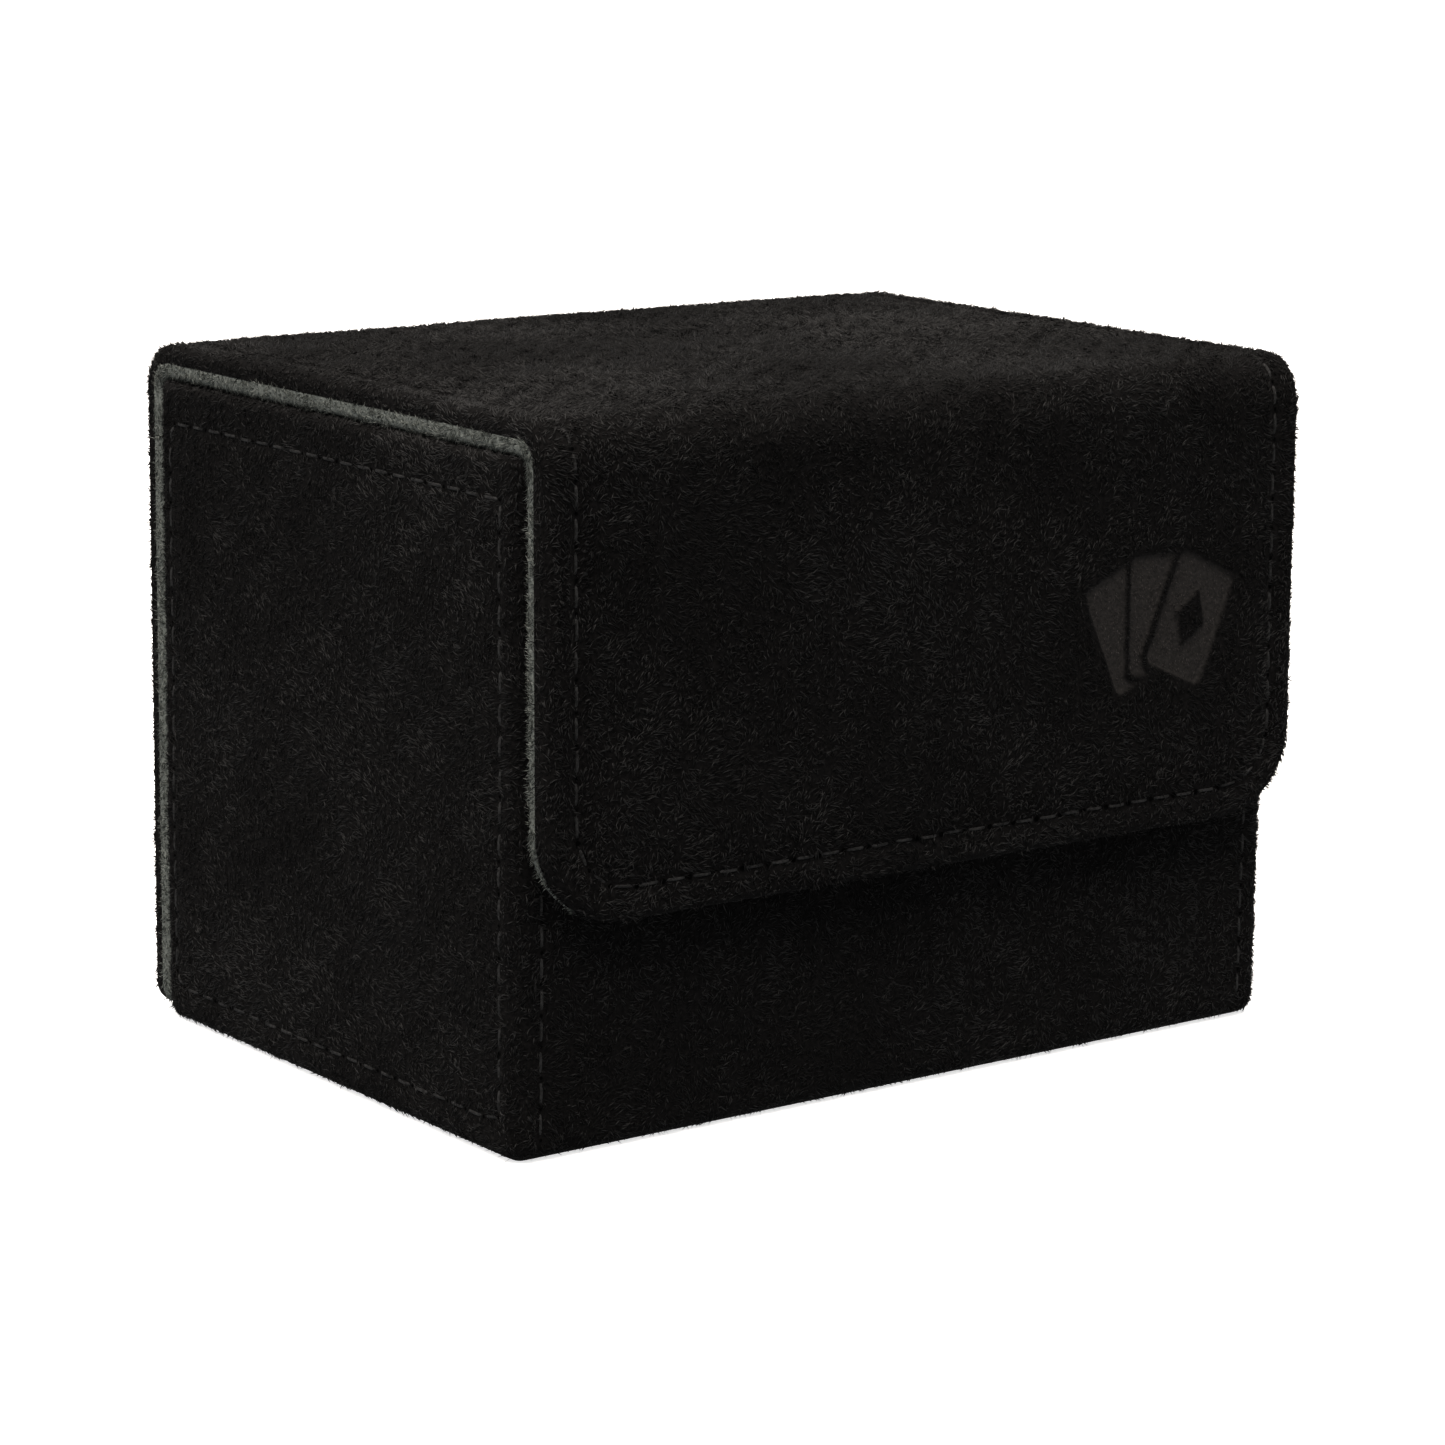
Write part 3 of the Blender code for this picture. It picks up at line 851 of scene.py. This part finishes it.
def stitch_row(name, path, to_world, wide_beyond=math.inf):
    """A row of stitches and its needle holes, dark discs of painted shadow, which are wider where v is
    beyond a place.

    to_world maps (u, v, height) to world points.
    """
    ends = along_path(path, STITCH_PITCH)
    stitches, holes = [], []
    for start, end in zip(ends[:-1], ends[1:]):
        run = end - start
        length = np.linalg.norm(run)
        run = run / length
        across = np.array((-run[1], run[0]))
        jitter = random.normal(0, STITCH_WANDER)
        x, y, z = THREAD_POINTS.T
        arc = 1 - (2 * x) ** 4
        reach = x * (length - STITCH_GAP)
        middle = (start + end)[None] / 2
        flat = middle + reach[:, None] * run + (y * THREAD_WIDTH + jitter)[:, None] * across
        height = z * THREAD_WIDTH * THREAD_FLATNESS + THREAD_HEIGHT * arc - THREAD_SUNK
        stitches.append(to_world(np.column_stack([flat, height])))
    for end in ends:
        x, y, z = HOLE_POINTS.T * (HOLE_WIDTH if end[1] > wide_beyond else SIDE_HOLE_WIDTH)
        holes.append(to_world(np.column_stack([end[0] + x, end[1] + y, HOLE_FLATNESS * z + HOLE_LIFT])))
    thread = copies(name, THREAD_FACES, stitches)
    smooth(thread)
    dress(thread, BLACK_THREAD)
    # Painted shadow: a dark disc at each needle hole.
    hole_shadow_discs = copies(name + "_holes", HOLE_FACES, holes)
    smooth(hole_shadow_discs)
    dress(hole_shadow_discs, HOLE_SHADOW_PAINT)
    return thread, hole_shadow_discs, ends


def clear_of(points, ends, radius):
    """True for the points further than a radius from every needle hole."""
    keep = np.ones(len(points), bool)
    for end in ends:
        keep &= np.hypot(*(points - end).T) > radius
    return keep


# Cover pieces

PILE_DENSITY = 8
EDGE_STEPS = ((0.45, 0), (-0.45, 0), (0, 0.45), (0, -0.45))
COVER_HOLE_CLEAR = 0.45 * MM  # no fibre grows nearer to a needle hole
SUEDE_ROLL = 1.1 * MM
LINING_ROLL = 0.8 * MM
LAYER_GAP = 0.1 * MM
NAP_DENSITY = 16
NAP_SIZE = 0.8
NAP_STRAYS = 0.4
NAP_REACH = 1.6 * MM  # how far in from the lining's edge its nap is drawn fibre by fibre


def cover_seam_path(half):
    """The row of stitches round a half of the cover, as (x, run): down one side, round and up the other."""
    free_run, corner, way = (0.0, HEEL_CORNER, 1) if half == "rear" else (COVER_RUN, FLAP_CORNER, -1)
    side = COVER_HALF - COVER_SEAM
    radius = max(corner - COVER_SEAM, MM)
    centre = free_run + way * (COVER_SEAM + radius)
    turns = np.linspace(0, math.pi / 2, 7)
    left = [(-side + radius - radius * math.cos(t), centre - way * radius * math.sin(t)) for t in turns]
    right = [(-x, run) for x, run in reversed(left)]
    return [(-side, LID_MIDDLE)] + left + right + [(side, LID_MIDDLE)]


def cover_half(half, low_run, high_run, corner, nodes):
    """Suede, lining, stitches and pile of one half of the cover; they all bend together."""
    free_run = low_run if half == "rear" else high_run
    name = f"cover_{half}"
    suede = cover_sheet(name + "_suede", low_run, high_run, 0.0, SUEDE_EDGE, corner, SUEDE_ROLL, "outer")
    smooth(suede)
    thread, hole_shadow_discs, ends = stitch_row(
        name + "_stitching",
        cover_seam_path(half),
        lambda flat: wrap_suede(flat, free_run)[0],
        COVER_RUN - FLAP_CORNER,
    )
    made = [suede, thread, hole_shadow_discs]
    for part, (low, high, density) in PILE_PARTS[half].items():
        roots, normals = scatter(
            suede,
            density,
            lambda centre, facing: (facing[:, 2] > -0.7)
            & (np.abs(centre[:, 1] - LID_MIDDLE) > ON_PLANE)
            & (centre[:, 1] > low)
            & (centre[:, 1] < high),
        )
        keep = clear_of(roots[:, :2], ends, COVER_HOLE_CLEAR)
        roots, normals = roots[keep], normals[keep]
        points, sideways, along, outward = wrap_suede(roots, free_run)
        turned = normals[:, :1] * sideways + normals[:, 1:2] * along + normals[:, 2:] * outward
        pressed = emblem(roots[:, 0], roots[:, 1])
        beside = [emblem(roots[:, 0] + a * MM, roots[:, 1] + b * MM) for a, b in EDGE_STEPS]
        shortened = np.maximum.reduce(beside) * (1 - pressed)
        pile = spikes(f"{part}_pile", points, turned, points, pressed, shortened)
        dress(pile, SUEDE_PILE)
        made.append(pile)
    flat = coordinates(suede)
    layer = suede.data.attributes.new("pressed", "FLOAT", "POINT")
    marked = emblem(flat[:, 0], flat[:, 1]) * (flat[:, 2] > -MM)
    layer.data.foreach_set("value", marked.astype(np.float32))
    wrap(suede, free_run, filled=True)
    dress(suede, SUEDE_GROUND)
    lining = cover_sheet(
        name + "_lining",
        low_run,
        high_run,
        SUEDE_EDGE + LAYER_GAP,
        COVER_THICK,
        corner,
        LINING_ROLL,
        "inner",
    )
    smooth(lining)
    edge = free_run + (NAP_REACH if half == "rear" else -NAP_REACH)
    roots, normals = scatter(
        lining,
        NAP_DENSITY,
        lambda centre, facing: (facing[:, 2] < 0.7)
        & (np.abs(centre[:, 1] - LID_MIDDLE) > ON_PLANE)
        & (
            (np.abs(centre[:, 0]) > COVER_HALF - NAP_REACH)
            | ((centre[:, 1] - edge) * (free_run - edge) > 0)
        ),
    )
    points, outward = place_on_cover(roots[:, 0], roots[:, 1], -roots[:, 2])
    sideways = np.zeros_like(outward)
    sideways[:, 0] = 1
    along = np.cross(outward, sideways)
    turned = normals[:, :1] * sideways + normals[:, 1:2] * along + normals[:, 2:] * outward
    still = np.zeros(len(points))
    nap = spikes(name + "_nap", points, turned, points, still, still, NAP_SIZE, NAP_STRAYS)
    dress(nap, LINING_NAP)
    made.append(nap)
    wrap(lining, free_run, filled=False)
    dress(lining, LINING_CLOTH)
    made.append(lining)
    for piece in made:
        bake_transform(piece)
    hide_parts(*[prefix + "suede" for prefix in nodes])
    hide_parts(*[prefix + "lining" for prefix in nodes])
    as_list(made[1:-2])
    return thread


BACK_PILE_TOP = REAR_FOLD_START - 2 * MM
# Where each piece of the cover's pile begins and ends, and how many fibres it has to a square millimetre
PILE_PARTS = {
    "rear": {"back": (0, BACK_PILE_TOP, 5.6), "lid_rear": (BACK_PILE_TOP, LID_MIDDLE, 8.2)},
    "front": {"lid_front": (LID_MIDDLE, FRONT_FOLD_END, 8.5), "flap": (FRONT_FOLD_END, COVER_RUN, 7.8)},
}


def cover_pieces():
    nodes = ("cover_back_", "rear_fold_", "lid_")
    thread = cover_half("rear", 0.0, LID_MIDDLE, HEEL_CORNER, nodes)
    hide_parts("cover_back_stitching", "lid_stitching_left", "lid_stitching_right")
    nodes = ("front_fold_", "flap_")
    thread = cover_half("front", LID_MIDDLE, COVER_RUN, FLAP_CORNER, nodes)
    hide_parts("flap_stitching")


# Body pieces

WALL = HALF_WIDTH - INNER_HALF
HEM = 5 * MM
UPRIGHT_ROUND = 2.4 * MM
FOOT_ROUND = 2.3 * MM
RIM_ROUND = 0.8 * MM
BODY_CLOTH = 1.0 * MM
NEAR_FACE = 2 * MM  # a place this near a face of the body belongs to it
OFF_FACE = 0.3 * MM  # a place further in than this is off the outer face
FACE_START = 0.6 * MM  # a point this near a face begins to take its seams
FACE_FADE = 0.5 * MM
BODY_RIPPLE = 0.12 * MM
BODY_HOLE_CLEAR = 0.5 * MM


def body_suede():
    """The body's suede: front, sides and base in one, turned over the rim into the compartment."""
    piece = add_block("body_suede", (-HALF_WIDTH, FRONT_Y, 0), (HALF_WIDTH, REAR_Y, RIM_Z))
    upright = lambda a, b: abs(a.z - b.z) > 10 * MM
    bevel_edges(piece, upright, UPRIGHT_ROUND, 5)
    bevel_edges(piece, lambda a, b: max(a.z, b.z) < ON_PLANE, FOOT_ROUND, 5)
    select_faces(piece, lambda centre, normal: normal.z > 0.9)
    bpy.ops.mesh.inset(thickness=WALL, depth=0)
    bpy.ops.mesh.extrude_region_move(TRANSFORM_OT_translate={"value": (0, 0, -HEM)})
    bpy.ops.mesh.delete(type="FACE")
    select_faces(piece, lambda centre, normal: normal.y > 0.95 and centre.y > REAR_Y - ON_PLANE)
    bpy.ops.mesh.delete(type="FACE")
    bpy.ops.object.mode_set(mode="OBJECT")
    inside = lambda a: abs(a.x) < HALF_WIDTH - NEAR_FACE and FRONT_Y + NEAR_FACE < a.y < REAR_Y - 1 * MM
    around_rim = lambda a, b: (
        min(a.z, b.z) > RIM_Z - ON_PLANE and inside(a) == inside(b) and min(a.y, b.y) < REAR_Y - 1 * MM
    )
    bevel_edges(piece, around_rim, RIM_ROUND, 4)
    columns = list(np.arange(-HALF_WIDTH + FIRST_ROW, HALF_WIDTH - LAST_ROW, ROW_STEP))
    columns += [side * (HALF_WIDTH - FRONT_SEAM) + step for side in (-1, 1) for step in BESIDE_SEAM]
    cut_rows(0, columns)
    rows = list(np.arange(FRONT_Y + FIRST_ROW, REAR_Y - LAST_ROW, ROW_STEP))
    rows += [line + step for line in (FRONT_Y + SIDE_SEAM, REAR_Y - SIDE_SEAM) for step in BESIDE_SEAM]
    cut_rows(1, rows)
    levels = list(np.arange(7 * MM, RIM_Z - 6 * MM, ROW_STEP))
    levels += [line + step for line in (SIDE_SEAM_LOW, SIDE_SEAM_TOP) for step in BESIDE_SEAM]
    cut_rows(2, levels)
    return piece


SIDE_SEAM_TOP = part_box("left_side_stitching")[1].z
SIDE_SEAM_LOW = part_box("left_side_stitching")[0].z
FRONT_SEAM_LOW, FRONT_SEAM_HIGH = (corner.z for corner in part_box("front_stitching_left"))
PANEL_CROWN = 0.35 * MM


def body_faces():
    """Each outer face of the body as its origin, its two directions and the direction outwards."""
    return {
        "left": ((-HALF_WIDTH, 0, 0), (0, 1, 0), (0, 0, 1), (-1, 0, 0)),
        "right": ((HALF_WIDTH, 0, 0), (0, 1, 0), (0, 0, 1), (1, 0, 0)),
        "front": ((0, FRONT_Y, 0), (1, 0, 0), (0, 0, 1), (0, -1, 0)),
    }


def side_seam_path():
    low, high = FRONT_Y + SIDE_SEAM, REAR_Y - SIDE_SEAM
    corners = [(low, SIDE_SEAM_TOP), (low, SIDE_SEAM_LOW), (high, SIDE_SEAM_LOW), (high, SIDE_SEAM_TOP)]
    return corners + [corners[0]]


def front_seam_path(side):
    x = side * (HALF_WIDTH - FRONT_SEAM)
    return [(x, FRONT_SEAM_LOW), (x, FRONT_SEAM_HIGH)]


def near_line(value, line):
    return np.exp(-(((value - line) / SEAM_SPREAD) ** 2))


def body_relief(points):
    """How far the padded panels of the body swell out and how the seams draw them in, as a world shift."""
    x, y, z = points.T
    u = (y - FRONT_Y) / (REAR_Y - FRONT_Y)
    up = np.sin(np.clip(z / RIM_Z, 0, 1) * math.pi)
    ripple = BODY_RIPPLE * np.sin(y * 160 + z * 60 + 0.7) * np.sin(z * 140 - y * 50)
    within = (y > FRONT_Y + SIDE_SEAM - MM) & (y < REAR_Y - SIDE_SEAM + MM)
    within &= (z > SIDE_SEAM_LOW - MM) & (z < SIDE_SEAM_TOP + MM)
    lines = np.maximum(near_line(y, FRONT_Y + SIDE_SEAM), near_line(y, REAR_Y - SIDE_SEAM))
    lines = np.maximum(lines, np.maximum(near_line(z, SIDE_SEAM_LOW), near_line(z, SIDE_SEAM_TOP)))
    side = (PANEL_CROWN * np.sin(np.clip(u, 0, 1) * math.pi) + ripple) * up - BODY_SEAM_DIP * lines * within
    sewn = (z > FRONT_SEAM_LOW - MM) * (z < FRONT_SEAM_HIGH + MM)
    lines = near_line(np.abs(x), HALF_WIDTH - FRONT_SEAM) * sewn
    across = np.cos(np.clip(x / HALF_WIDTH, -1, 1) * math.pi / 2)
    front = 0.5 * PANEL_CROWN * across * up - BODY_SEAM_DIP * lines
    on_side = np.clip((np.abs(x) - HALF_WIDTH + FACE_START) / FACE_FADE, 0, 1)
    on_front = np.clip((FRONT_Y + FACE_START - y) / FACE_FADE, 0, 1)
    shift = np.zeros_like(points)
    shift[:, 0] = np.sign(x) * on_side * side
    shift[:, 1] = -on_front * front
    return shift


def body_row(node, face, path):
    origin, across, up, outward = (np.array(value, float) for value in body_faces()[face])

    def to_world(flat):
        surface = origin + flat[:, :1] * across + flat[:, 1:2] * up
        return surface + body_relief(surface) + flat[:, 2:] * outward

    thread, hole_shadow_discs, ends = stitch_row(node.replace("stitching", "thread"), path, to_world)
    for piece in (thread, hole_shadow_discs):
        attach(piece, "box")
    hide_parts(node)
    return to_world(np.column_stack([ends, 0 * ends[:, 0]]))


BODY_PILE = {
    "left_side": lambda centre, facing: (facing[:, 0] < -0.5) & (centre[:, 0] < -HALF_WIDTH + NEAR_FACE),
    "right_side": lambda centre, facing: (facing[:, 0] > 0.5) & (centre[:, 0] > HALF_WIDTH - NEAR_FACE),
    "front": lambda centre, facing: (facing[:, 1] < -0.5)
    & (np.abs(facing[:, 0]) <= 0.5)
    & (centre[:, 1] < FRONT_Y + NEAR_FACE)
    & (centre[:, 2] < FRONT_PILE_TOP),
    "front_upper": lambda centre, facing: (facing[:, 1] < -0.5)
    & (np.abs(facing[:, 0]) <= 0.5)
    & (centre[:, 1] < FRONT_Y + NEAR_FACE)
    & (centre[:, 2] >= FRONT_PILE_TOP),
    "rim": lambda centre, facing: (centre[:, 2] > RIM_Z - HEM)
    & (np.abs(centre[:, 0]) < HALF_WIDTH - OFF_FACE)
    & (centre[:, 1] > FRONT_Y + OFF_FACE)
    & ((facing[:, 2] > 0.5) | (np.abs(centre[:, 0]) < HALF_WIDTH - NEAR_FACE)),
}
FRONT_PILE_TOP = 32 * MM
FRONT_UPPER_DENSITY = 5.5  # behind the flap


def finish_body():
    piece = body_suede()
    smooth(piece)
    holes = [
        body_row("left_side_stitching", "left", side_seam_path()),
        body_row("right_side_stitching", "right", side_seam_path()),
        body_row("front_stitching_left", "front", front_seam_path(-1)),
        body_row("front_stitching_right", "front", front_seam_path(1)),
    ]
    holes = np.concatenate(holes)
    flat = coordinates(piece)
    move_points(piece, flat + body_relief(flat))
    for name, wanted in BODY_PILE.items():
        density = FRONT_UPPER_DENSITY if name == "front_upper" else PILE_DENSITY
        roots, normals = scatter(piece, density, wanted)
        near = np.ones(len(roots), bool)
        for hole in holes:
            near &= np.linalg.norm(roots - hole, axis=1) > BODY_HOLE_CLEAR
        roots, normals = roots[near], normals[near]
        still = np.zeros(len(roots))
        pile = spikes(name + "_pile", roots, normals, roots, still, still)
        dress(pile, SUEDE_PILE)
        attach(pile, "box")
    wall = piece.modifiers.new("cloth", "SOLIDIFY")
    wall.thickness = BODY_CLOTH
    wall.offset = -1
    start_primitive()
    piece.select_set(True)
    bpy.context.view_layer.objects.active = piece
    bpy.ops.object.modifier_apply(modifier=wall.name)
    dress(piece, SUEDE_GROUND)
    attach(piece, "box")
    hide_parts("base_suede", "front_suede", "left_suede", "right_suede")


LINING_CLOTH_THICK = 0.9 * MM
LINING_TOP = RIM_Z - HEM - 0.1 * MM  # just under the turned-in suede
LINING_ROUND = 0.5 * MM


def compartment():
    thick = LINING_CLOTH_THICK
    piece = add_block(
        "compartment_lining",
        (-INNER_HALF - thick, INNER_FRONT - thick, FLOOR_Z - thick),
        (INNER_HALF + thick, INNER_REAR + thick, LINING_TOP),
    )
    select_faces(piece, lambda centre, normal: normal.z > 0.9)
    bpy.ops.mesh.inset(thickness=thick, depth=0)
    down = FLOOR_Z - LINING_TOP
    bpy.ops.mesh.extrude_region_move(TRANSFORM_OT_translate={"value": (0, 0, down)})
    bpy.ops.object.mode_set(mode="OBJECT")
    near = 0.1 * MM
    inside = lambda a: abs(a.x) < INNER_HALF + near and INNER_FRONT - near < a.y < INNER_REAR + near
    bevel_edges(piece, lambda a, b: inside(a) and inside(b), LINING_ROUND, 3)
    smooth(piece)
    dress(piece, LINING_CLOTH)
    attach(piece, "box")
    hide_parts(*[f"{wall}_lining" for wall in ("front", "left", "right", "rear", "floor")])


def hidden_nodes():
    """Boards and magnets keep their CAD shapes, with better materials."""
    better = {"board": plain_board(), "magnet": nickel_magnet()}
    for piece in bpy.data.objects:
        if piece.type != "MESH":
            continue
        for key, material in better.items():
            if key in piece.name and not piece.name.endswith("_pile"):
                for slot in piece.material_slots:
                    slot.material = material


# Stage


def stage():
    """A white sweep under a high softbox; the sweep throws no light back up at the box."""
    start_primitive()
    bpy.ops.mesh.primitive_plane_add(size=16)
    floor = bpy.context.object
    floor.name = "floor"
    paper, tree, shader = new_material("white_paper_sweep", 0.95, Specular_IOR_Level=0.1)
    place = add_node(tree, "ShaderNodeTexCoord").outputs["Object"]
    grain = add_node(tree, "ShaderNodeTexNoise", {"Vector": place, "Scale": 40.0})
    tint = add_node(
        tree,
        "ShaderNodeValToRGB",
        {"Fac": grain.outputs["Fac"]},
        [(0.3, "#f7f7f7"), (0.7, "#fbfbfb")],
    ).outputs["Color"]
    tree.links.new(tint, shader.inputs["Base Color"])
    shader.inputs["Emission Color"].default_value = colour("#ffffff")
    shader.inputs["Emission Strength"].default_value = 0.7
    floor.data.materials.append(paper)
    floor.visible_diffuse = False
    floor.visible_glossy = False

    world = bpy.data.worlds.new("soft_studio")
    bpy.context.scene.world = world
    world.use_nodes = True
    backdrop = world.node_tree.nodes["Background"]
    backdrop.inputs["Color"].default_value = colour("#ffffff")
    backdrop.inputs["Strength"].default_value = 0.4

    for name, place, strength, spread, tint in (
        ("high_softbox", (-0.25, -0.12, 1.0), 4.8, 70, "#fff4ea"),
        ("left_softbox", (-1.0, -0.35, 0.25), 0.35, 60, "#ffffff"),
    ):
        light = bpy.data.lights.new(name, "SUN")
        light.energy = strength
        light.angle = math.radians(spread)
        light.color = colour(tint)[:3]
        lamp = bpy.data.objects.new(name, light)
        bpy.context.scene.collection.objects.link(lamp)
        lamp.location = place
        lamp.rotation_euler = (-Vector(place)).to_track_quat("-Z", "Y").to_euler()
    bpy.context.scene.view_settings.view_transform = "Standard"


CAMERA_AZIMUTH = -37.1
CAMERA_ELEVATION = 11.9
CAMERA_ROLL = 0.67
CAMERA_DISTANCE = 0.5162
CAMERA_LENS = 111.35
AIM_BACK = 2.65 * MM  # how far behind the middle of the box the camera aims
AIM_RIGHT = 1.81 * MM
AIM_DOWN = 4.54 * MM


def add_camera():
    """A long lens at the height of the lid, turned to show the front, the left side and the top."""
    azimuth, elevation = math.radians(CAMERA_AZIMUTH), math.radians(CAMERA_ELEVATION)
    back = Vector(
        (
            math.sin(azimuth) * math.cos(elevation),
            -math.cos(azimuth) * math.cos(elevation),
            math.sin(elevation),
        )
    )
    right = Vector((math.cos(azimuth), math.sin(azimuth), 0))
    up = back.cross(right)
    aim = Vector((0, AIM_BACK, LID_TOP / 2)) + AIM_RIGHT * right - AIM_DOWN * up
    roll = math.radians(CAMERA_ROLL)
    turned_right = math.cos(roll) * right + math.sin(roll) * up
    turned_up = back.cross(turned_right)
    camera = bpy.data.cameras.new("camera")
    camera.sensor_width = 36
    camera.lens = CAMERA_LENS
    stand = bpy.data.objects.new("camera", camera)
    bpy.context.scene.collection.objects.link(stand)
    place = aim + back * CAMERA_DISTANCE
    axes = Matrix((turned_right, turned_up, back)).transposed().to_4x4()
    stand.matrix_world = Matrix.Translation(place) @ axes
    bpy.context.scene.camera = stand


add_camera()
stage()
hidden_nodes()
cover_pieces()
finish_body()
compartment()
